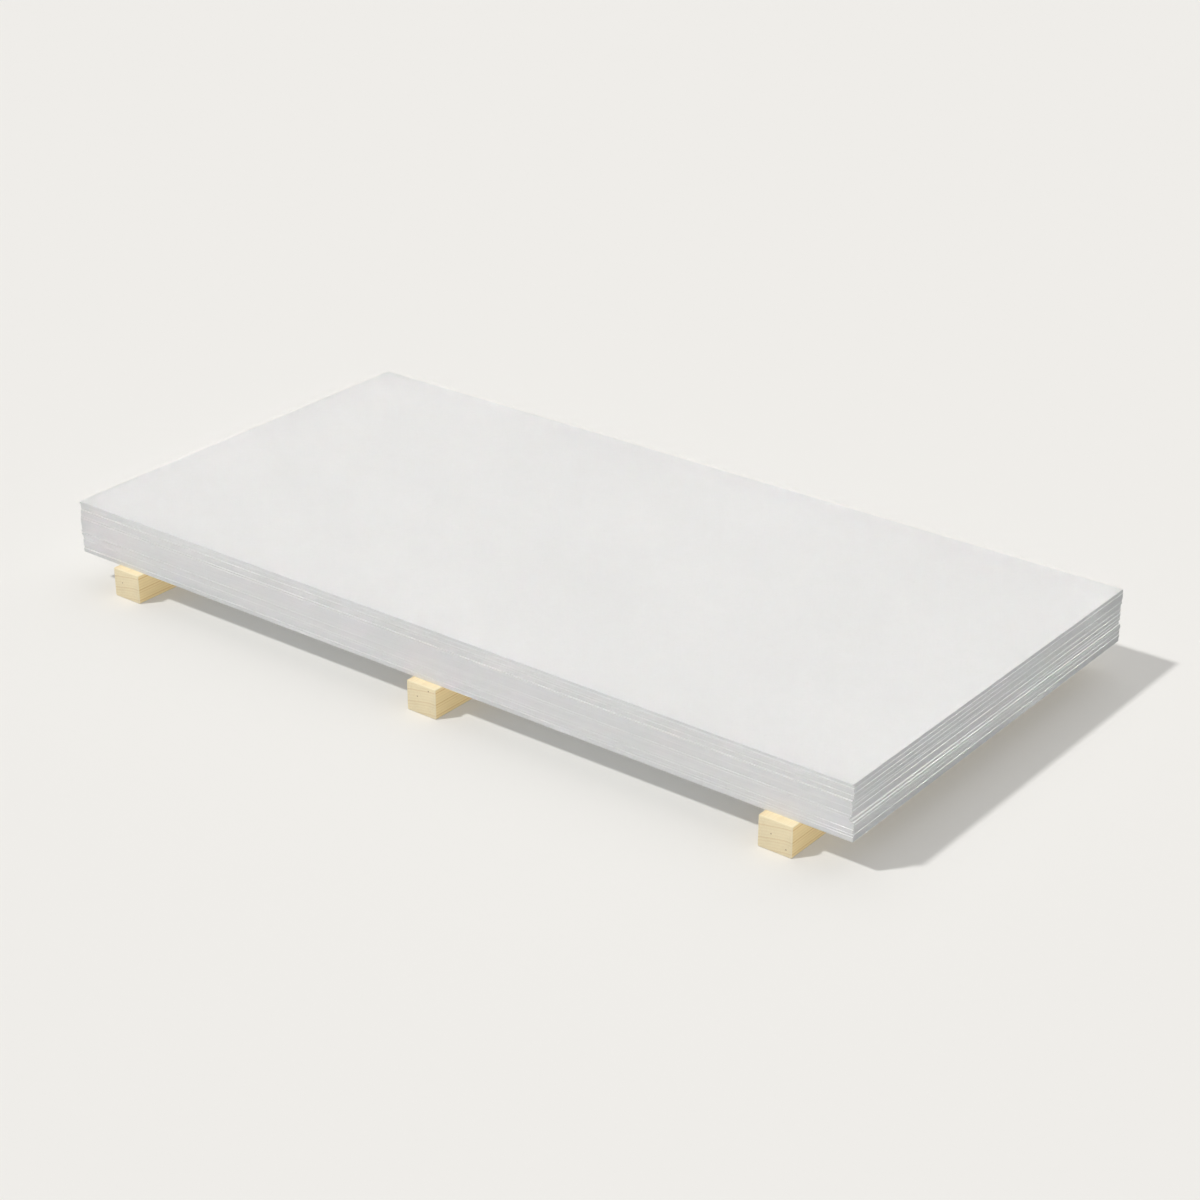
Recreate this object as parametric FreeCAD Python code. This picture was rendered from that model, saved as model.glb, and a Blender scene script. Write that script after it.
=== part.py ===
"""Stack of fiber cement boards on three timber bearers.

Sizes are in millimetres.  +X runs along the boards, +Y across them and +Z up.
The origin is on the floor, under the middle of the middle bearer.  Every board
and every bearer is a solid of its own, written to parts/NODE.step.
"""

import FreeCAD
import Part

import math
import os
import random
from collections import namedtuple

# Boards: every board is the same flat sheet, cut square.
BOARD_LENGTH = 2400.0
BOARD_WIDTH = 1200.0
BOARD_THICKNESS = 6.0
BOARD_ARRIS = 0.4

# Bearers: sawn timbers that lie across the stack and keep it off the floor.
BEARER_WIDTH = 90.0
BEARER_HEIGHT = 80.0
BEARER_OVERHANG = 20.0
BEARER_EASING = 3.0
OUTER_BEARER_INSET = 180.0

BEARER_LENGTH = BOARD_WIDTH + 2.0 * BEARER_OVERHANG
BEARER_PITCH = BOARD_LENGTH / 2.0 - OUTER_BEARER_INSET

# Laying: the stack was put down in lifts of a few boards.  The top board lies
# square.  Every lift below it lies at random within these limits: how far it
# slipped towards -X, how far it may have slipped towards -Y or +Y, and how far
# its ends swung.  Inside a lift each board strays from the rest by the scatter.
BOARD_COUNT = 24
LIFT_SLIP_ALONG = 8.0
LIFT_SLIP_NEAR = 1.0
LIFT_SLIP_FAR = 6.0
LIFT_SWING = 3.0
NEW_LIFT_CHANCE = 0.4
BOARD_SCATTER = 1.0
LAYING_SEED = 1

STACK_HEIGHT = BOARD_COUNT * BOARD_THICKNESS
Z_AXIS = FreeCAD.Vector(0, 0, 1)
ORIGIN = FreeCAD.Vector(0, 0, 0)

# A board's place on the stack: its slip along X, its slip along Y, and how far
# its right-hand end swung towards +Y while its left-hand end swung towards -Y.
Slip = namedtuple("Slip", "along across swing")


def centred_box(length, width, height, underside):
    """A box centred over the origin, standing on the height `underside`."""
    corner = FreeCAD.Vector(-length / 2.0, -width / 2.0, underside)
    return Part.makeBox(length, width, height, corner)


def edges_along(shape, direction):
    """The straight edges of a box that run along a direction."""
    found = []
    for edge in shape.Edges:
        run = edge.Vertexes[-1].Point - edge.Vertexes[0].Point
        if abs(run.normalize().dot(direction)) > 0.999:
            found.append(edge)
    return found


def make_board(slip, underside):
    """One sheet with broken arrises, slipped and swung as it lies."""
    sheet = centred_box(BOARD_LENGTH, BOARD_WIDTH, BOARD_THICKNESS, underside)
    arris = min(BOARD_ARRIS, BOARD_THICKNESS / 4.0)
    sheet = sheet.makeChamfer(arris, sheet.Edges)
    angle = math.degrees(math.atan2(slip.swing, BOARD_LENGTH / 2.0))
    sheet.rotate(ORIGIN, Z_AXIS, angle)
    sheet.translate(FreeCAD.Vector(slip.along, slip.across, 0))
    return sheet


def make_bearer(middle):
    """One timber across the stack, with its long edges eased."""
    timber = centred_box(BEARER_WIDTH, BEARER_LENGTH, BEARER_HEIGHT, 0.0)
    easing = min(BEARER_EASING, BEARER_HEIGHT / 4.0, BEARER_WIDTH / 4.0)
    timber = timber.makeFillet(easing, edges_along(timber, FreeCAD.Vector(0, 1, 0)))
    timber.translate(FreeCAD.Vector(middle, 0, 0))
    return timber


def lay_boards():
    """The slip of every board, from the top board down."""
    chance = random.Random(LAYING_SEED)
    slips = [Slip(0.0, 0.0, 0.0)]
    lift = None
    while len(slips) < BOARD_COUNT:
        if lift is None or chance.random() < NEW_LIFT_CHANCE:
            lift = Slip(
                -chance.uniform(0.0, LIFT_SLIP_ALONG),
                chance.uniform(-LIFT_SLIP_NEAR, LIFT_SLIP_FAR),
                chance.uniform(-LIFT_SWING, LIFT_SWING),
            )
        slips.append(Slip(*(value + chance.uniform(-BOARD_SCATTER, BOARD_SCATTER) for value in lift)))
    return slips


def make_boards():
    """Every board by its node name, counted from the top of the stack."""
    boards = {}
    for count, slip in enumerate(lay_boards(), start=1):
        underside = BEARER_HEIGHT + STACK_HEIGHT - count * BOARD_THICKNESS
        boards[f"board_{count:02d}"] = make_board(slip, underside)
    return boards


def make_bearers():
    """The three bearers by their node names."""
    return {
        "bearer_left": make_bearer(-BEARER_PITCH),
        "bearer_middle": make_bearer(0.0),
        "bearer_right": make_bearer(BEARER_PITCH),
    }


def main():
    """Build every piece and write one STEP file for each."""
    os.makedirs("parts", exist_ok=True)
    pieces = make_boards() | make_bearers()
    for node, shape in pieces.items():
        shape.exportStep(f"parts/{node}.step")
        print(f"{node}: {shape.Volume / 1e6:.3f} dm3, valid {shape.isValid()}")


main()
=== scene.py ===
"""Finish, light and camera for a stack of fiber cement boards on timber bearers.

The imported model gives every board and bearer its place.  Each one is modelled
again here at the same size, with worked edges and a finish of its own, and the
plain solid behind it is hidden.  All lengths are in metres, +Z is up, and the
boards' length runs along +X.
"""

import logging
import math
import random
from dataclasses import dataclass, field
from enum import Enum

import bpy
from mathutils import Matrix, Vector

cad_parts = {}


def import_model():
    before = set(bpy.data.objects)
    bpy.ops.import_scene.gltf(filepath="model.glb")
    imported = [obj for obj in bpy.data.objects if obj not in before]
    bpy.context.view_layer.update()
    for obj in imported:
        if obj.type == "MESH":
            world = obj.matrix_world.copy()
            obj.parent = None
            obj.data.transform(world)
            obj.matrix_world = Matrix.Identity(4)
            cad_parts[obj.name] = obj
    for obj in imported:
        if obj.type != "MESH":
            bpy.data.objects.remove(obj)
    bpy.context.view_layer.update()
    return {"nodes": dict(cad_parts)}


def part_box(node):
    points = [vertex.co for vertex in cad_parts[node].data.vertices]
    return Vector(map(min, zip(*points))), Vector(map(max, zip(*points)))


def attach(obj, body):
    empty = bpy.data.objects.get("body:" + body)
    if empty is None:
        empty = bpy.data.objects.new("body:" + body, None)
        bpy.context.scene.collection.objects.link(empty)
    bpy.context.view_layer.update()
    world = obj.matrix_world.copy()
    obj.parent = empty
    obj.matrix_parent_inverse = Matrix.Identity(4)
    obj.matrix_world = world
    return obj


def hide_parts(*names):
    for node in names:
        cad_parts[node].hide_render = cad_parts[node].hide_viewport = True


LOG = logging.getLogger("board_stack")
BODY = "root"
TINY = 1e-5
Colour = tuple[float, float, float]


class Slot(Enum):
    """The record's material slots."""

    CEMENT = "fiber_cement"
    PINE = "pine"


class BearerSpot(Enum):
    """Where each bearer lies under the stack."""

    LEFT = "bearer_left"
    MIDDLE = "bearer_middle"
    RIGHT = "bearer_right"


def srgb(red: int, green: int, blue: int) -> Colour:
    """Turn a colour of 0 to 255 per channel into the linear values that shaders use.

    Args:
        red: red channel.
        green: green channel.
        blue: blue channel.

    Returns:
        The linear red, green and blue.
    """
    linear = []
    for channel in (red, green, blue):
        value = channel / 255
        linear.append(value / 12.92 if value <= 0.04045 else ((value + 0.055) / 1.055) ** 2.4)
    return (linear[0], linear[1], linear[2])


# ---------------------------------------------------------------- modelling


def pick_only(piece: bpy.types.Object) -> None:
    """Make one object the active one and the only one selected."""
    bpy.ops.object.select_all(action="DESELECT")
    piece.select_set(True)
    bpy.context.view_layer.objects.active = piece


def apply_place(piece: bpy.types.Object) -> None:
    """Move a piece's place, turn and scale into its mesh."""
    pick_only(piece)
    bpy.ops.object.transform_apply(location=True, rotation=True, scale=True)


def select_faces(piece: bpy.types.Object, normal: Vector, least: float = 0.99) -> None:
    """Select the faces that point one way, in a piece that is and stays in edit mode.

    Args:
        piece: the object being edited.
        normal: the direction that the faces point in.
        least: the smallest cosine between a face's normal and that direction.
    """
    bpy.ops.mesh.select_mode(type="FACE")
    bpy.ops.mesh.select_all(action="DESELECT")
    bpy.ops.object.mode_set(mode="OBJECT")
    for face in piece.data.polygons:
        face.select = face.normal.dot(normal) > least
    bpy.ops.object.mode_set(mode="EDIT")


def point_values(piece: bpy.types.Object, name: str, values: list[float]) -> None:
    """Store one number for each point of a mesh, for its finish to read.

    Args:
        piece: the object whose mesh takes the values.
        name: the attribute's name.
        values: one value for each point.
    """
    attribute = piece.data.attributes.new(name=name, type="FLOAT", domain="POINT")
    attribute.data.foreach_set("value", values)


def mark_arrises(piece: bpy.types.Object, half: Vector, reach: float) -> None:
    """Store how near each point of a rectangular piece is to an arris, as "arris".

    Args:
        piece: the piece, about the origin.
        half: half its size.
        reach: how far from an arris the value falls to 0.
    """
    values = []
    for vertex in piece.data.vertices:
        gaps = sorted(half[axis] - abs(vertex.co[axis]) for axis in range(3))
        values.append(max(0.0, 1.0 - gaps[1] / reach))
    point_values(piece, "arris", values)


@dataclass(frozen=True)
class Seat:
    """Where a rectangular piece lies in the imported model, and its size."""

    middle: Vector
    turn: float
    size: Vector

    @classmethod
    def of_node(cls, node: bpy.types.Object) -> "Seat":
        """Read a node's seat from the four corners of its flat top.

        Args:
            node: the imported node, which lies flat and may be turned a little.

        Returns:
            The seat, with the turn in radians about +Z.
        """
        points = [vertex.co.copy() for vertex in node.data.vertices]
        top = max(point.z for point in points)
        flat = [point for point in points if top - point.z < TINY]
        front_left = min(flat, key=lambda point: point.x + point.y)
        front_right = max(flat, key=lambda point: point.x - point.y)
        run = front_right - front_left
        turn = math.atan2(run.y, run.x)
        unturn = Matrix.Rotation(-turn, 3, "Z")
        level = [unturn @ point for point in points]
        low = Vector(min(point[axis] for point in level) for axis in range(3))
        high = Vector(max(point[axis] for point in level) for axis in range(3))
        return cls(unturn.inverted() @ ((low + high) / 2), turn, high - low)

    def place(self, piece: bpy.types.Object) -> None:
        """Lay a piece that was modelled about the origin in this seat."""
        piece.location = self.middle
        piece.rotation_euler = (0.0, 0.0, self.turn)
        apply_place(piece)


# ---------------------------------------------------------------- shader building


class NodeSketch:
    """Adds and joins nodes in one node tree."""

    def __init__(self, tree: bpy.types.NodeTree) -> None:
        """Keep the tree that nodes are added to."""
        self.tree = tree

    def add(self, kind: str, **settings: object) -> bpy.types.Node:
        """Add a node and set its properties.

        Args:
            kind: the node's type name.
            settings: property values by name.

        Returns:
            The new node.
        """
        node = self.tree.nodes.new(kind)
        for name, value in settings.items():
            setattr(node, name, value)
        return node

    def feed(self, socket: bpy.types.NodeSocket, value: object) -> None:
        """Link a socket to an input, or set the input to a plain value."""
        if isinstance(value, bpy.types.NodeSocket):
            self.tree.links.new(value, socket)
        else:
            socket.default_value = value

    def math(self, operation: str, *terms: object) -> bpy.types.NodeSocket:
        """Work out one number from others.

        Args:
            operation: the Math node's operation.
            terms: sockets or plain numbers, in order.

        Returns:
            The result's socket.
        """
        node = self.add("ShaderNodeMath", operation=operation)
        for socket, term in zip(node.inputs, terms):
            self.feed(socket, term)
        return node.outputs[0]

    def spread(
        self, value: object, low: float, high: float, to_low: float, to_high: float
    ) -> bpy.types.NodeSocket:
        """Remap a number from one range to another, smoothly and clamped.

        Args:
            value: the number to remap.
            low: the start of its range.
            high: the end of its range.
            to_low: the result at the start.
            to_high: the result at the end.

        Returns:
            The result's socket.
        """
        node = self.add("ShaderNodeMapRange", interpolation_type="SMOOTHSTEP")
        for name, term in (
            ("Value", value),
            ("From Min", low),
            ("From Max", high),
            ("To Min", to_low),
            ("To Max", to_high),
        ):
            self.feed(node.inputs[name], term)
        return node.outputs["Result"]

    def stretch(self, vector: object, scale: tuple[float, float, float]) -> bpy.types.NodeSocket:
        """Multiply a vector by a scale along each axis."""
        node = self.add("ShaderNodeVectorMath", operation="MULTIPLY")
        self.feed(node.inputs[0], vector)
        node.inputs[1].default_value = scale
        return node.outputs[0]

    def noise(
        self, vector: object, scale: object, detail: float = 2.0, seed: object = 0.0
    ) -> bpy.types.NodeSocket:
        """Add a noise value from 0 to 1.

        Args:
            vector: where to read the noise.
            scale: features for each metre.
            detail: octaves of finer noise.
            seed: the fourth coordinate, which gives a different pattern.

        Returns:
            The noise value's socket.
        """
        node = self.add("ShaderNodeTexNoise", noise_dimensions="4D")
        self.feed(node.inputs["Vector"], vector)
        self.feed(node.inputs["Scale"], scale)
        self.feed(node.inputs["W"], seed)
        node.inputs["Detail"].default_value = detail
        return node.outputs["Fac"]

    def blend(
        self, share: object, first: object, second: object, mode: str = "MIX"
    ) -> bpy.types.NodeSocket:
        """Mix two colours.

        Args:
            share: how much of the second colour shows.
            first: the colour below.
            second: the colour above.
            mode: the blend type.

        Returns:
            The mixed colour's socket.
        """
        node = self.add("ShaderNodeMix", data_type="RGBA", blend_type=mode)
        colours = [socket for socket in node.inputs if socket.type == "RGBA"]
        self.feed(node.inputs[0], share)
        self.feed(colours[0], first)
        self.feed(colours[1], second)
        return next(socket for socket in node.outputs if socket.type == "RGBA")

    def group(self, tree: bpy.types.NodeTree, **inputs: object) -> bpy.types.Node:
        """Place a node group and give its inputs.

        Args:
            tree: the group's tree.
            inputs: values or sockets by input name, with spaces as underscores.

        Returns:
            The group's node.
        """
        node = self.add("ShaderNodeGroup", node_tree=tree)
        for name, value in inputs.items():
            self.feed(node.inputs[name.replace("_", " ")], value)
        return node

    def relief(self, height: object, depth: float, normal: object = None) -> bpy.types.NodeSocket:
        """Raise the surface by a height, as bump.

        Args:
            height: the height from 0 to 1.
            depth: the height of 1, in metres.
            normal: the normal from coarser relief, if there is any.

        Returns:
            The normal's socket.
        """
        node = self.add("ShaderNodeBump")
        self.feed(node.inputs["Height"], height)
        node.inputs["Distance"].default_value = depth
        if normal is not None:
            self.feed(node.inputs["Normal"], normal)
        return node.outputs["Normal"]


def new_group(
    name: str, inputs: dict[str, str], outputs: dict[str, str]
) -> tuple[bpy.types.NodeTree, NodeSketch, dict[str, bpy.types.NodeSocket], bpy.types.Node]:
    """Start a shader node group.

    Args:
        name: the group's name.
        inputs: socket type by input name.
        outputs: socket type by output name.

    Returns:
        The tree, a sketch on it, its inputs' sockets by name, and its output node.
    """
    tree = bpy.data.node_groups.new(name, "ShaderNodeTree")
    for label, kind in inputs.items():
        tree.interface.new_socket(name=label, in_out="INPUT", socket_type=kind)
    for label, kind in outputs.items():
        tree.interface.new_socket(name=label, in_out="OUTPUT", socket_type=kind)
    sketch = NodeSketch(tree)
    entry = sketch.add("NodeGroupInput")
    return tree, sketch, {socket.name: socket for socket in entry.outputs}, sketch.add("NodeGroupOutput")


NUMBER = "NodeSocketFloat"
VECTOR = "NodeSocketVector"
TINT = "NodeSocketColor"


@dataclass
class EffectShelf:
    """The effects that the finishes share, each built once."""

    cloud: bpy.types.NodeTree = field(init=False)
    streak: bpy.types.NodeTree = field(init=False)
    wear_and_highlight_edge: bpy.types.NodeTree = field(init=False)
    rings: bpy.types.NodeTree = field(init=False)
    knot: bpy.types.NodeTree = field(init=False)

    def __post_init__(self) -> None:
        """Build every effect."""
        self.cloud = self.make_cloud()
        self.streak = self.make_streak()
        self.wear_and_highlight_edge = self.make_wear_and_highlight_edge()
        self.rings = self.make_rings()
        self.knot = self.make_knot()

    @staticmethod
    def make_cloud() -> bpy.types.NodeTree:
        """Broad and fine mottling about a value of 1.

        Returns:
            A group whose Shade multiplies a colour's brightness.
        """
        tree, sketch, given, out = new_group(
            "Mottling",
            {"Vector": VECTOR, "Seed": NUMBER, "Broad Scale": NUMBER, "Fine Scale": NUMBER, "Amount": NUMBER},
            {"Shade": NUMBER},
        )
        broad = sketch.noise(given["Vector"], given["Broad Scale"], 3.0, given["Seed"])
        fine = sketch.noise(given["Vector"], given["Fine Scale"], 2.0, given["Seed"])
        both = sketch.math("ADD", sketch.math("MULTIPLY", broad, 1.3), sketch.math("MULTIPLY", fine, 0.7))
        swing = sketch.math("MULTIPLY", sketch.math("SUBTRACT", both, 1.0), given["Amount"])
        sketch.feed(out.inputs["Shade"], sketch.math("ADD", swing, 1.0))
        return tree

    @staticmethod
    def make_streak() -> bpy.types.NodeTree:
        """Fine hairs drawn out along one direction.

        Returns:
            A group whose Mask is 1 on a hair; its Vector is already drawn out.
        """
        tree, sketch, given, out = new_group(
            "Hairs", {"Vector": VECTOR, "Scale": NUMBER, "Seed": NUMBER, "Cover": NUMBER}, {"Mask": NUMBER}
        )
        hair = sketch.noise(given["Vector"], given["Scale"], 1.0, given["Seed"])
        edge = sketch.math("SUBTRACT", 0.72, sketch.math("MULTIPLY", given["Cover"], 0.3))
        rise = sketch.math("MULTIPLY", sketch.math("SUBTRACT", hair, edge), 9.0)
        sketch.feed(out.inputs["Mask"], sketch.math("MINIMUM", sketch.math("MAXIMUM", rise, 0.0), 1.0))
        return tree

    @staticmethod
    def make_wear_and_highlight_edge() -> bpy.types.NodeTree:
        """A paler edge, partly rubbed wear and partly painted highlight, that breaks up along its length.

        Returns:
            A group that mixes the paler edge colour over Color where Edge is high.
        """
        tree, sketch, given, out = new_group(
            "Rubbed edge",
            {
                "Vector": VECTOR,
                "Color": TINT,
                "Rubbed Color": TINT,
                "Edge": NUMBER,
                "Breakup Scale": NUMBER,
                "Strength": NUMBER,
            },
            {"Color": TINT, "Mask": NUMBER},
        )
        patches = sketch.noise(given["Vector"], given["Breakup Scale"], 3.0)
        broken = sketch.spread(patches, 0.25, 0.6, 0.8, 1.0)
        # This mask lays a painted highlight along each arris as well as wear.
        wear_and_highlight = sketch.math("MULTIPLY", sketch.math("POWER", given["Edge"], 1.4), broken)
        mask = sketch.math("MULTIPLY", wear_and_highlight, given["Strength"])
        sketch.feed(out.inputs["Color"], sketch.blend(mask, given["Color"], given["Rubbed Color"]))
        sketch.feed(out.inputs["Mask"], mask)
        return tree

    @staticmethod
    def make_rings() -> bpy.types.NodeTree:
        """Growth rings about a pith that runs along Y.

        Returns:
            A group whose Late Wood is 1 in each ring's dark late wood.
        """
        tree, sketch, given, out = new_group(
            "Growth rings",
            {
                "Vector": VECTOR,
                "Pith X": NUMBER,
                "Pith Z": NUMBER,
                "Ring Width": NUMBER,
                "Wander": NUMBER,
                "Seed": NUMBER,
            },
            {"Late Wood": NUMBER, "Year": NUMBER},
        )
        parts = sketch.add("ShaderNodeSeparateXYZ")
        sketch.feed(parts.inputs[0], given["Vector"])
        drift = sketch.noise(sketch.stretch(given["Vector"], (14.0, 1.1, 14.0)), 1.0, 2.0, given["Seed"])
        shift = sketch.math("MULTIPLY", sketch.math("SUBTRACT", drift, 0.5), given["Wander"])
        across = sketch.math("SUBTRACT", parts.outputs["X"], given["Pith X"])
        up = sketch.math("SUBTRACT", parts.outputs["Z"], given["Pith Z"])
        square = sketch.math("ADD", sketch.math("POWER", across, 2.0), sketch.math("POWER", up, 2.0))
        radius = sketch.math("ADD", sketch.math("SQRT", square), shift)
        years = sketch.math("DIVIDE", radius, given["Ring Width"])
        year = sketch.math("FLOOR", years)
        part = sketch.math("FRACT", years)
        growth = sketch.math("POWER", part, 3.0)
        fade = sketch.spread(part, 0.9, 1.0, 1.0, 0.0)
        sketch.feed(out.inputs["Late Wood"], sketch.math("MULTIPLY", growth, fade))
        sketch.feed(out.inputs["Year"], year)
        return tree

    @staticmethod
    def make_knot() -> bpy.types.NodeTree:
        """One small round knot with a soft rim.

        Returns:
            A group whose Mask is 1 at the knot's middle.
        """
        tree, sketch, given, out = new_group(
            "Pin knot", {"Vector": VECTOR, "Middle": VECTOR, "Radius": NUMBER}, {"Mask": NUMBER}
        )
        distance = sketch.add("ShaderNodeVectorMath", operation="DISTANCE")
        sketch.feed(distance.inputs[0], given["Vector"])
        sketch.feed(distance.inputs[1], given["Middle"])
        share = sketch.math("DIVIDE", distance.outputs["Value"], given["Radius"])
        sketch.feed(out.inputs["Mask"], sketch.spread(share, 0.35, 1.0, 1.0, 0.0))
        return tree


def new_material(name: str) -> tuple[bpy.types.Material, NodeSketch, bpy.types.Node]:
    """Start a node material.

    Args:
        name: the material's name.

    Returns:
        The material, a sketch on its tree, and its Principled shader.
    """
    material = bpy.data.materials.new(name)
    material.use_nodes = True
    shader = next(node for node in material.node_tree.nodes if node.type == "BSDF_PRINCIPLED")
    return material, NodeSketch(material.node_tree), shader


# ---------------------------------------------------------------- finishes


@dataclass(frozen=True)
class CementFinish:
    """Pressed fiber cement: pale grey, matt, faintly mottled and flecked with fibre, with paler arrises that
    are partly wear and partly painted highlight.
    """

    name: str
    colour: Colour
    # Paler arris colour: partly rubbed wear, partly a painted highlight along each edge.
    wear_and_highlight: Colour = srgb(238, 239, 236)
    mottling: float = 0.014
    fibre_cover: float = 0.45
    roughness: float = 0.86
    wear_and_highlight_strength: float = 0.25
    layer_pitch: float = 0.0
    seed_step: float = 40.0
    sheet_spread: float = 0.02
    broad_scale: float = 3.2
    fine_scale: float = 55.0
    pale_fibre: float = 0.018
    dark_fibre: float = 0.03
    grain_scale: float = 900.0
    roughness_spread: float = 0.06
    specular: float = 0.25
    breakup_scale: float = 5.0
    wave_scale: float = 6.0
    wave_depth: float = 0.0004
    pit_scale: float = 70.0
    pit_depth: float = 0.00012
    grain_depth: float = 0.00006

    def build(self, effects: EffectShelf) -> bpy.types.Material:
        """Make the material.

        Args:
            effects: the shared effects.

        Returns:
            The finished material.
        """
        material, sketch, shader = new_material(self.name)
        place = sketch.add("ShaderNodeTexCoord").outputs["Object"]
        sheet = sketch.add("ShaderNodeAttribute", attribute_name="sheet_tone").outputs["Fac"]
        edge = sketch.add("ShaderNodeAttribute", attribute_name="arris").outputs["Fac"]
        seed = sketch.math("MULTIPLY", sheet, self.seed_step)
        mottle = sketch.group(
            effects.cloud,
            Vector=place,
            Seed=seed,
            Broad_Scale=self.broad_scale,
            Fine_Scale=self.fine_scale,
            Amount=self.mottling,
        )
        offset = sketch.math("MULTIPLY", sketch.math("SUBTRACT", sheet, 0.5), self.sheet_spread)
        tone = sketch.math("ADD", offset, 1.0)
        pale_hair = sketch.group(
            effects.streak,
            Vector=sketch.stretch(place, (55.0, 420.0, 420.0)),
            Scale=1.0,
            Seed=seed,
            Cover=self.fibre_cover,
        )
        dark_hair = sketch.group(
            effects.streak,
            Vector=sketch.stretch(place, (340.0, 70.0, 340.0)),
            Scale=1.0,
            Seed=sketch.math("ADD", seed, 7.0),
            Cover=self.fibre_cover * 0.6,
        )
        shade = sketch.math("MULTIPLY", mottle.outputs["Shade"], tone)
        pale = sketch.math("MULTIPLY", pale_hair.outputs["Mask"], self.pale_fibre)
        dark = sketch.math("MULTIPLY", dark_hair.outputs["Mask"], self.dark_fibre)
        shade = sketch.math("SUBTRACT", sketch.math("ADD", shade, pale), dark)
        if self.layer_pitch:
            shade = sketch.math("MULTIPLY", shade, self.layers(sketch, place, seed))
        grey = sketch.add("ShaderNodeCombineColor")
        for channel in grey.inputs:
            sketch.feed(channel, shade)
        body = sketch.blend(1.0, (*self.colour, 1.0), grey.outputs[0], "MULTIPLY")
        # Pale the arrises: partly wear, partly painted highlight.
        wear_and_highlight = sketch.group(
            effects.wear_and_highlight_edge,
            Vector=place,
            Color=body,
            Rubbed_Color=(*self.wear_and_highlight, 1.0),
            Edge=edge,
            Breakup_Scale=self.breakup_scale,
            Strength=self.wear_and_highlight_strength,
        )
        sketch.feed(shader.inputs["Base Color"], wear_and_highlight.outputs["Color"])
        grain = sketch.noise(place, self.grain_scale, 3.0, seed)
        least = self.roughness - self.roughness_spread
        most = self.roughness + self.roughness_spread
        rough = sketch.spread(grain, 0.3, 0.7, least, most)
        sketch.feed(shader.inputs["Roughness"], rough)
        shader.inputs["Specular IOR Level"].default_value = self.specular
        waves = sketch.relief(sketch.noise(place, self.wave_scale, 2.0, seed), self.wave_depth)
        pits = sketch.relief(self.pits(sketch, place), self.pit_depth, waves)
        fine = sketch.relief(grain, self.grain_depth, pits)
        sketch.feed(shader.inputs["Normal"], fine)
        return material

    def pits(self, sketch: NodeSketch, place: bpy.types.NodeSocket) -> bpy.types.NodeSocket:
        """Scattered pin holes left by air at the pressing.

        Args:
            sketch: the material's sketch.
            place: the surface's coordinates.

        Returns:
            A height that drops in each hole.
        """
        cells = sketch.add("ShaderNodeTexVoronoi")
        sketch.feed(cells.inputs["Vector"], place)
        cells.inputs["Scale"].default_value = self.pit_scale
        return sketch.spread(cells.outputs["Distance"], 0.04, 0.12, 0.0, 1.0)

    def layers(
        self, sketch: NodeSketch, place: bpy.types.NodeSocket, seed: bpy.types.NodeSocket
    ) -> bpy.types.NodeSocket:
        """The thin plies that show where the sheet was sawn.

        Args:
            sketch: the material's sketch.
            place: the surface's coordinates.
            seed: the sheet's own seed.

        Returns:
            A brightness factor that changes from ply to ply.
        """
        plies = sketch.noise(sketch.stretch(place, (4.0, 4.0, 1.0 / self.layer_pitch)), 1.0, 2.0, seed)
        return sketch.spread(plies, 0.3, 0.7, 0.985, 1.01)


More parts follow.
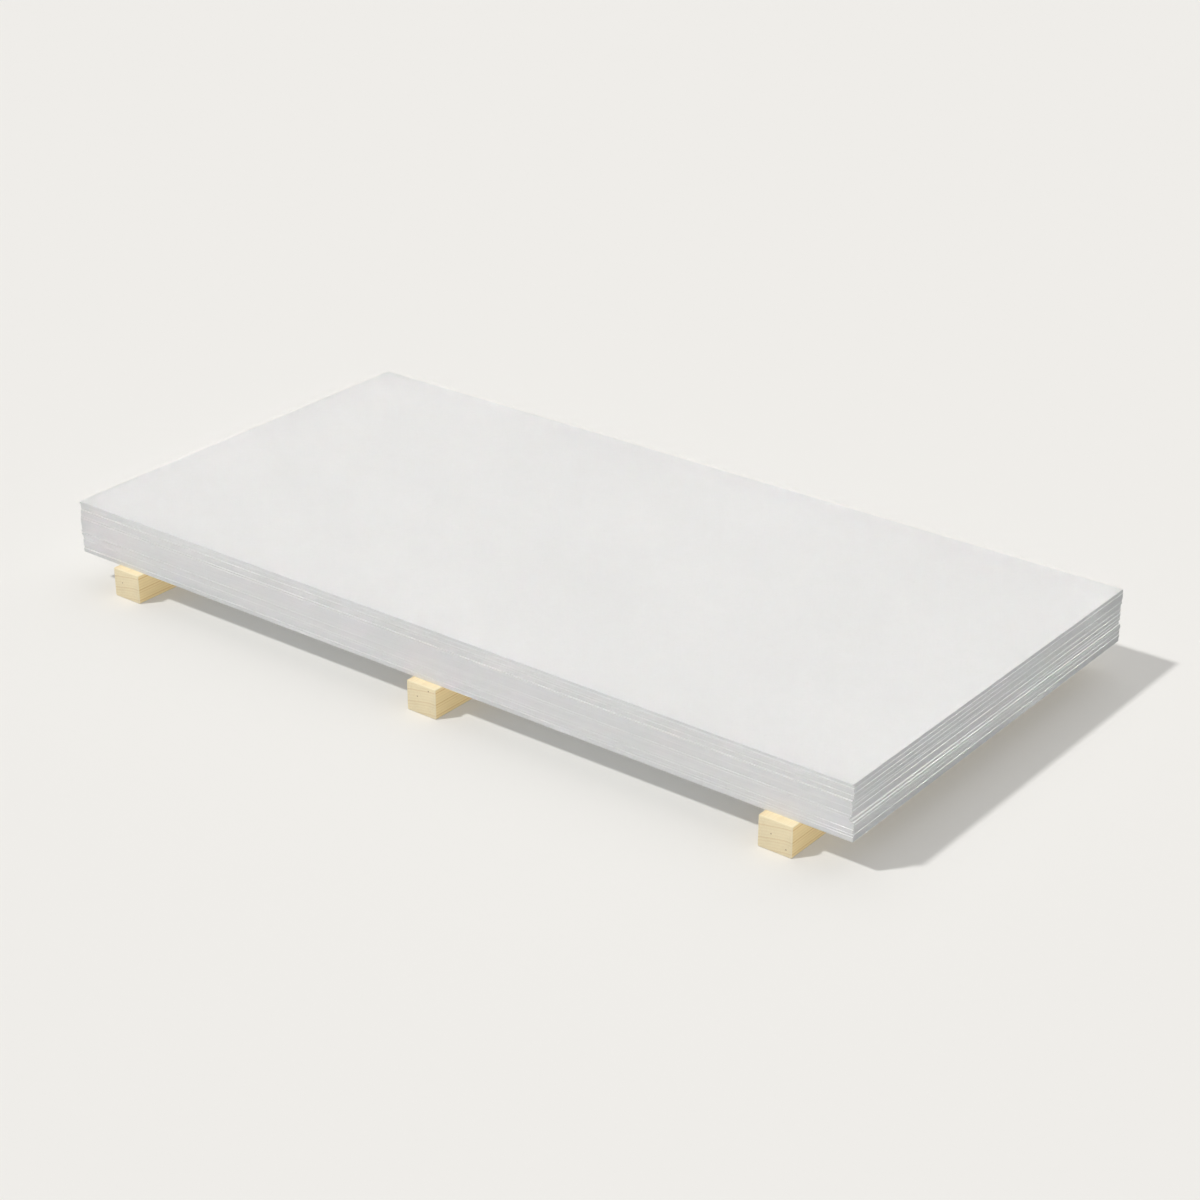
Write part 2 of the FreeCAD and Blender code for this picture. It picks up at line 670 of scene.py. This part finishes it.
@dataclass(frozen=True)
class PineFinish:
    """Sawn pine: cream early wood, amber late wood, long sides painted deeper and more orange as painted
    shade, paler edges partly worn and partly painted highlight, and a few pin knots.
    """

    name: str
    seed: float
    pith: tuple[float, float]
    knots: tuple[tuple[float, float, float], ...]
    early: Colour = srgb(250, 234, 196)
    late: Colour = srgb(228, 198, 150)
    # Deeper, more orange colours for the two long sides: painted warm shade.
    shaded_side_early: Colour = srgb(249, 224, 170)
    shaded_side_late: Colour = srgb(206, 160, 92)
    knot_colour: Colour = srgb(146, 104, 62)
    # Paler colour on the eased edges: partly wear, partly a painted highlight.
    worn_highlight_colour: Colour = srgb(252, 240, 208)
    ring_width: float = 0.0075
    wander: float = 0.010
    knot_radius: float = 0.0024
    knot_strength: float = 0.75
    hair_strength: float = 0.22
    mottling: float = 0.10
    wear_and_highlight_strength: float = 0.7
    breakup_scale: float = 30.0
    specular: float = 0.3
    ring_depth: float = 0.0002
    saw_scale: float = 48.0
    saw_depth: float = 0.00015
    fibre_depth: float = 0.00018

    def build(self, effects: EffectShelf, middle: Vector) -> bpy.types.Material:
        """Make the material.

        Args:
            effects: the shared effects.
            middle: the bearer's middle, which centres its pattern.

        Returns:
            The finished material.
        """
        material, sketch, shader = new_material(self.name)
        coordinates = sketch.add("ShaderNodeTexCoord").outputs["Object"]
        centring = sketch.add("ShaderNodeMapping", vector_type="POINT")
        centring.inputs["Location"].default_value = -middle
        sketch.feed(centring.inputs["Vector"], coordinates)
        place = centring.outputs["Vector"]
        rings = sketch.group(
            effects.rings,
            Vector=place,
            Pith_X=self.pith[0],
            Pith_Z=self.pith[1],
            Ring_Width=self.ring_width,
            Wander=self.wander,
            Seed=self.seed,
        )
        boldness = self.year_boldness(sketch, rings.outputs["Year"])
        late = sketch.math("MULTIPLY", rings.outputs["Late Wood"], boldness)
        # The long sides take the deeper colours, as painted shade.
        side = sketch.add("ShaderNodeAttribute", attribute_name="painted_shade_sides").outputs["Fac"]
        early_wood = sketch.blend(side, (*self.early, 1.0), (*self.shaded_side_early, 1.0))
        late_wood = sketch.blend(side, (*self.late, 1.0), (*self.shaded_side_late, 1.0))
        wood = sketch.blend(late, early_wood, late_wood)
        wood = self.add_fibres(sketch, effects, place, wood)
        wood = self.add_knots(sketch, effects, place, wood)
        # Pale the eased edges: partly wear, partly painted highlight.
        wear_and_highlight = sketch.group(
            effects.wear_and_highlight_edge,
            Vector=place,
            Color=wood,
            Rubbed_Color=(*self.worn_highlight_colour, 1.0),
            Edge=sketch.add("ShaderNodeAttribute", attribute_name="arris").outputs["Fac"],
            Breakup_Scale=self.breakup_scale,
            Strength=self.wear_and_highlight_strength,
        )
        sketch.feed(shader.inputs["Base Color"], wear_and_highlight.outputs["Color"])
        fibre = sketch.noise(sketch.stretch(place, (700.0, 14.0, 700.0)), 1.0, 2.0, self.seed)
        sketch.feed(shader.inputs["Roughness"], sketch.spread(fibre, 0.3, 0.7, 0.62, 0.78))
        shader.inputs["Specular IOR Level"].default_value = self.specular
        raised = sketch.relief(late, self.ring_depth)
        sawn = sketch.relief(self.saw_marks(sketch, place), self.saw_depth, raised)
        sketch.feed(shader.inputs["Normal"], sketch.relief(fibre, self.fibre_depth, sawn))
        return material

    def year_boldness(self, sketch: NodeSketch, year: bpy.types.NodeSocket) -> bpy.types.NodeSocket:
        """How dark each year's late wood is, from faint to bold.

        Args:
            sketch: the material's sketch.
            year: the ring's number.

        Returns:
            A share from faint to full.
        """
        chance = sketch.add("ShaderNodeTexWhiteNoise", noise_dimensions="1D")
        sketch.feed(chance.inputs["W"], sketch.math("ADD", year, self.seed))
        return sketch.spread(chance.outputs["Value"], 0.25, 1.0, 0.25, 1.0)

    def add_fibres(
        self,
        sketch: NodeSketch,
        effects: EffectShelf,
        place: bpy.types.NodeSocket,
        wood: bpy.types.NodeSocket,
    ) -> bpy.types.NodeSocket:
        """Draw resin streaks and soft colour changes along the grain.

        Args:
            sketch: the material's sketch.
            effects: the shared effects.
            place: coordinates about the bearer's middle.
            wood: the colour so far.

        Returns:
            The colour with fibres.
        """
        hairs = sketch.group(
            effects.streak,
            Vector=sketch.stretch(place, (420.0, 9.0, 420.0)),
            Scale=1.0,
            Seed=self.seed,
            Cover=0.5,
        )
        mottle = sketch.group(
            effects.cloud,
            Vector=sketch.stretch(place, (1.0, 0.12, 1.0)),
            Seed=self.seed,
            Broad_Scale=22.0,
            Fine_Scale=160.0,
            Amount=self.mottling,
        )
        grey = sketch.add("ShaderNodeCombineColor")
        for channel in grey.inputs:
            sketch.feed(channel, mottle.outputs["Shade"])
        shaded = sketch.blend(1.0, wood, grey.outputs[0], "MULTIPLY")
        share = sketch.math("MULTIPLY", hairs.outputs["Mask"], self.hair_strength)
        return sketch.blend(share, shaded, (*self.late, 1.0))

    def add_knots(
        self,
        sketch: NodeSketch,
        effects: EffectShelf,
        place: bpy.types.NodeSocket,
        wood: bpy.types.NodeSocket,
    ) -> bpy.types.NodeSocket:
        """Add the pin knots.

        Args:
            sketch: the material's sketch.
            effects: the shared effects.
            place: coordinates about the bearer's middle.
            wood: the colour so far.

        Returns:
            The colour with knots.
        """
        for middle in self.knots:
            knot = sketch.group(effects.knot, Vector=place, Middle=middle, Radius=self.knot_radius)
            share = sketch.math("MULTIPLY", knot.outputs["Mask"], self.knot_strength)
            wood = sketch.blend(share, wood, (*self.knot_colour, 1.0))
        return wood

    def saw_marks(self, sketch: NodeSketch, place: bpy.types.NodeSocket) -> bpy.types.NodeSocket:
        """Faint ridges across the timber, left by the saw.

        Args:
            sketch: the material's sketch.
            place: coordinates about the bearer's middle.

        Returns:
            A height that rises and falls along the timber.
        """
        marks = sketch.add("ShaderNodeTexWave", bands_direction="Y")
        sketch.feed(marks.inputs["Vector"], place)
        marks.inputs["Scale"].default_value = self.saw_scale
        marks.inputs["Distortion"].default_value = 2.5
        marks.inputs["Detail"].default_value = 2.0
        return marks.outputs["Fac"]


# ---------------------------------------------------------------- the object's pieces


@dataclass
class BoardStack:
    """The boards, from the top one down, each a sheet of its own."""

    nodes: dict[str, bpy.types.Object]
    effects: EffectShelf
    arris: float = 0.00025
    rim: float = 0.00125
    tone_seed: int = 11
    side_slope: float = 0.3
    face: CementFinish = CementFinish("fiber_cement_face", srgb(232, 233, 230))
    cut: CementFinish = CementFinish(
        "fiber_cement_cut_edge", srgb(234, 234, 231), mottling=0.012, layer_pitch=0.0011
    )

    def build(self) -> list[bpy.types.Object]:
        """Model one sheet, then lay a copy of it in every board's seat.

        Returns:
            The boards.
        """
        names = sorted(name for name in self.nodes if name.startswith("board_"))
        seats = {name: Seat.of_node(self.nodes[name]) for name in names}
        pattern = self.model_sheet(seats[names[0]].size)
        finishes = [self.face.build(self.effects), self.cut.build(self.effects)]
        for material in finishes:
            pattern.data.materials.append(material)
        self.mark_cut_edges(pattern)
        chance = random.Random(self.tone_seed)
        boards = []
        for name in names:
            board = pattern.copy()
            board.data = pattern.data.copy()
            board.name = f"{name}_sheet"
            bpy.context.scene.collection.objects.link(board)
            point_values(board, "sheet_tone", [chance.random()] * len(board.data.vertices))
            seats[name].place(board)
            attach(board, BODY)
            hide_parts(name)
            boards.append(board)
            LOG.info("%s laid, turned %.2f mrad", board.name, seats[name].turn * 1000)
        bpy.data.objects.remove(pattern)
        return boards

    def model_sheet(self, size: Vector) -> bpy.types.Object:
        """Model one sheet about the origin.

        Args:
            size: its length, width and thickness.

        Returns:
            The sheet, with broken arrises and a narrow rim round each face.
        """
        bpy.ops.object.select_all(action="DESELECT")
        bpy.ops.mesh.primitive_cube_add(size=1.0)
        sheet = bpy.context.object
        sheet.scale = size
        apply_place(sheet)
        bpy.ops.object.mode_set(mode="EDIT")
        bpy.ops.mesh.select_all(action="SELECT")
        bpy.ops.mesh.bevel(offset=self.arris, segments=2, profile=0.5, affect="EDGES")
        for axis in range(3):
            for way in (1.0, -1.0):
                normal = Vector((0.0, 0.0, 0.0))
                normal[axis] = way
                select_faces(sheet, normal)
                bpy.ops.mesh.inset(thickness=self.rim, depth=0.0)
        bpy.ops.object.mode_set(mode="OBJECT")
        mark_arrises(sheet, Vector(size) / 2, self.arris + self.rim)
        return sheet

    def mark_cut_edges(self, sheet: bpy.types.Object) -> None:
        """Give the sheet's four sides the sawn finish."""
        for face in sheet.data.polygons:
            face.material_index = 1 if abs(face.normal.z) < self.side_slope else 0


@dataclass
class Bearers:
    """The three timbers under the stack."""

    nodes: dict[str, bpy.types.Object]
    effects: EffectShelf
    easing: float = 0.003
    easing_steps: int = 4
    smooth_angle: float = math.radians(40.0)
    finishes: dict[BearerSpot, PineFinish] = field(
        default_factory=lambda: {
            BearerSpot.LEFT: PineFinish("pine_left", 3.0, (0.06, -0.42), ((-0.015, -0.62, 0.004),)),
            BearerSpot.MIDDLE: PineFinish(
                "pine_middle", 3.0, (0.06, -0.42), ((-0.012, -0.62, 0.006), (0.024, -0.62, 0.030))
            ),
            BearerSpot.RIGHT: PineFinish(
                "pine_right", 3.0, (0.06, -0.42), ((-0.010, -0.62, 0.004), (0.030, -0.62, -0.022))
            ),
        }
    )

    def build(self) -> list[bpy.types.Object]:
        """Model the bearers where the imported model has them.

        Returns:
            The bearers.
        """
        bearers = []
        for spot, finish in self.finishes.items():
            seat = Seat.of_node(self.nodes[spot.value])
            bearer = self.model_timber(seat.size)
            bearer.name = f"{spot.value}_timber"
            bearer.data.materials.append(finish.build(self.effects, seat.middle))
            seat.place(bearer)
            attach(bearer, BODY)
            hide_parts(spot.value)
            bearers.append(bearer)
            LOG.info("%s laid at x = %.3f m", bearer.name, seat.middle.x)
        return bearers

    def model_timber(self, size: Vector) -> bpy.types.Object:
        """Model one sawn timber about the origin.

        Args:
            size: its width, length and height.

        Returns:
            The timber, with eased edges, and its two long sides marked for the painted shade in its finish.
        """
        bpy.ops.object.select_all(action="DESELECT")
        bpy.ops.mesh.primitive_cube_add(size=1.0)
        timber = bpy.context.object
        timber.scale = size
        apply_place(timber)
        bpy.ops.object.mode_set(mode="EDIT")
        bpy.ops.mesh.select_all(action="SELECT")
        bpy.ops.mesh.bevel(offset=self.easing, segments=self.easing_steps, profile=0.5, affect="EDGES")
        bpy.ops.object.mode_set(mode="OBJECT")
        mark_arrises(timber, Vector(size) / 2, self.easing)
        # Mark the two long sides, where the finish paints shade.
        at_side = size.x / 2 - TINY
        marks = [float(abs(vertex.co.x) > at_side) for vertex in timber.data.vertices]
        point_values(timber, "painted_shade_sides", marks)
        bpy.ops.object.shade_smooth_by_angle(angle=self.smooth_angle)
        return timber


# ---------------------------------------------------------------- the studio


@dataclass
class Studio:
    """A pale floor, soft light and the camera."""

    boards: list[bpy.types.Object]
    bearers: list[bpy.types.Object]
    floor_colour: Colour = srgb(239, 237, 233)
    floor_bounce: Colour = srgb(206, 208, 210)
    floor_size: float = 60.0
    sun_share: float = 0.40
    sun_travel: Vector = field(default_factory=lambda: Vector((0.463, 0.593, -1.0)))
    sun_softness: float = math.radians(4.0)
    fill_share: float = 0.20
    fill_travel: Vector = field(default_factory=lambda: Vector((-0.45, 0.6, -1.0)))
    back_share: float = 0.16
    back_travel: Vector = field(default_factory=lambda: Vector((0.1, -0.7, -1.0)))
    back_softness: float = math.radians(70.0)
    bearer_glow: float = 0.19
    bearer_glow_travel: Vector = field(default_factory=lambda: Vector((-1.0, 0.0, 0.0)))
    lamp_distance: float = 5.0
    lens: float = 77.81
    clip_end: float = 200.0
    camera_offset: Vector = field(default_factory=lambda: Vector((3.687, -4.6563, 2.7365)))
    camera_pitch: float = math.radians(25.98)
    camera_heading: float = math.radians(37.94)

    def build(self) -> None:
        """Set the view transform and make the floor, lights and camera."""
        bpy.context.scene.view_settings.view_transform = "Standard"
        self.make_camera()
        self.make_floor()
        self.make_world()
        self.make_suns()

    def make_camera(self) -> None:
        """Put the camera above the near corner, looking down along the stack."""
        low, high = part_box("board_01")
        top_middle = Vector(((low[0] + high[0]) / 2, (low[1] + high[1]) / 2, high[2]))
        bpy.ops.object.camera_add(
            location=top_middle + self.camera_offset,
            rotation=(math.pi / 2 - self.camera_pitch, 0.0, self.camera_heading),
        )
        camera = bpy.context.object
        camera.data.lens = self.lens
        camera.data.clip_end = self.clip_end
        bpy.context.scene.camera = camera

    def make_floor(self) -> None:
        """Lay a plain pale floor under everything."""
        bpy.ops.mesh.primitive_plane_add(size=self.floor_size)
        floor = bpy.context.object
        floor.name = "studio_floor"
        material, sketch, shader = new_material("studio_floor")
        rays = sketch.add("ShaderNodeLightPath")
        seen, bounced = (*self.floor_colour, 1.0), (*self.floor_bounce, 1.0)
        colour = sketch.blend(rays.outputs["Is Diffuse Ray"], seen, bounced)
        sketch.feed(shader.inputs["Base Color"], colour)
        shader.inputs["Roughness"].default_value = 1.0
        shader.inputs["Specular IOR Level"].default_value = 0.0
        floor.data.materials.append(material)

    def make_world(self) -> None:
        """Light from all round, and a pale backdrop above the floor's far edge."""
        world = bpy.data.worlds.new("studio")
        bpy.context.scene.world = world
        world.use_nodes = True
        world.node_tree.nodes.clear()
        sketch = NodeSketch(world.node_tree)
        ambient = sketch.add("ShaderNodeBackground")
        ambient.inputs["Color"].default_value = (1.0, 1.0, 1.0, 1.0)
        lamps = self.sun_share + self.fill_share + self.back_share
        ambient.inputs["Strength"].default_value = 1.0 - lamps
        backdrop = sketch.add("ShaderNodeBackground")
        backdrop.inputs["Color"].default_value = (*self.floor_colour, 1.0)
        rays = sketch.add("ShaderNodeLightPath")
        seen = sketch.math("MAXIMUM", rays.outputs["Is Camera Ray"], rays.outputs["Is Glossy Ray"])
        seen = sketch.math("MAXIMUM", seen, rays.outputs["Is Transmission Ray"])
        either = sketch.add("ShaderNodeMixShader")
        sketch.feed(either.inputs[0], seen)
        sketch.feed(either.inputs[1], ambient.outputs[0])
        sketch.feed(either.inputs[2], backdrop.outputs[0])
        sketch.feed(sketch.add("ShaderNodeOutputWorld").inputs["Surface"], either.outputs[0])

    def make_suns(self) -> None:
        """One key light in two lamps, a fill, and a glow on the bearers' shaded sides.

        The first lamp of the key lights the boards, which then cast no hairline
        shadows on each other's thin ledges.  The second lights all else and casts
        the stack's shadow.
        """
        on_boards = self.make_sun("key_on_boards", self.sun_travel, self.sun_share / -self.sun_travel.z)
        on_rest = self.make_sun("key", self.sun_travel, self.sun_share / -self.sun_travel.z)
        fill = self.make_sun("fill", self.fill_travel, self.fill_share / -self.fill_travel.z)
        glow = self.make_sun("glow_on_bearers", self.bearer_glow_travel, self.bearer_glow)
        back = self.make_sun("soft_back", self.back_travel, self.back_share / -self.back_travel.z)
        back.data.angle = self.back_softness
        for lamp in (on_boards, fill, glow):
            lamp.data.use_shadow = False
        glow.data.cycles.max_bounces = 0
        self.link_lamp(on_boards, self.boards, "INCLUDE")
        self.link_lamp(on_rest, self.boards, "EXCLUDE")
        self.link_lamp(glow, self.bearers, "INCLUDE")

    def make_sun(self, name: str, travel: Vector, share: float) -> bpy.types.Object:
        """Add a sun lamp.

        Args:
            name: its name.
            travel: the way its light travels.
            share: how much of full light it gives along each unit of its travel.

        Returns:
            The lamp.
        """
        way = travel.normalized()
        aim = way.to_track_quat("-Z", "Y").to_euler()
        bpy.ops.object.light_add(type="SUN", location=-way * self.lamp_distance, rotation=aim)
        lamp = bpy.context.object
        lamp.name = name
        lamp.data.energy = share * math.pi * travel.length
        lamp.data.angle = self.sun_softness
        return lamp

    @staticmethod
    def link_lamp(lamp: bpy.types.Object, pieces: list[bpy.types.Object], state: str) -> None:
        """Make a lamp light only some pieces, or all but those pieces.

        Args:
            lamp: the lamp.
            pieces: the pieces that it lights or leaves out.
            state: INCLUDE or EXCLUDE.
        """
        receivers = bpy.data.collections.new(f"{lamp.name}_receivers")
        for piece in pieces:
            receivers.objects.link(piece)
        for member in receivers.collection_objects:
            member.light_linking.link_state = state
        lamp.light_linking.receiver_collection = receivers


def main() -> None:
    """Finish every piece in order, then set up the studio."""
    logging.basicConfig(level=logging.INFO, format="%(name)s: %(message)s")
    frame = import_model()
    effects = EffectShelf()
    boards = BoardStack(frame["nodes"], effects).build()
    bearers = Bearers(frame["nodes"], effects).build()
    Studio(boards, bearers).build()


if __name__ == "__main__":
    main()
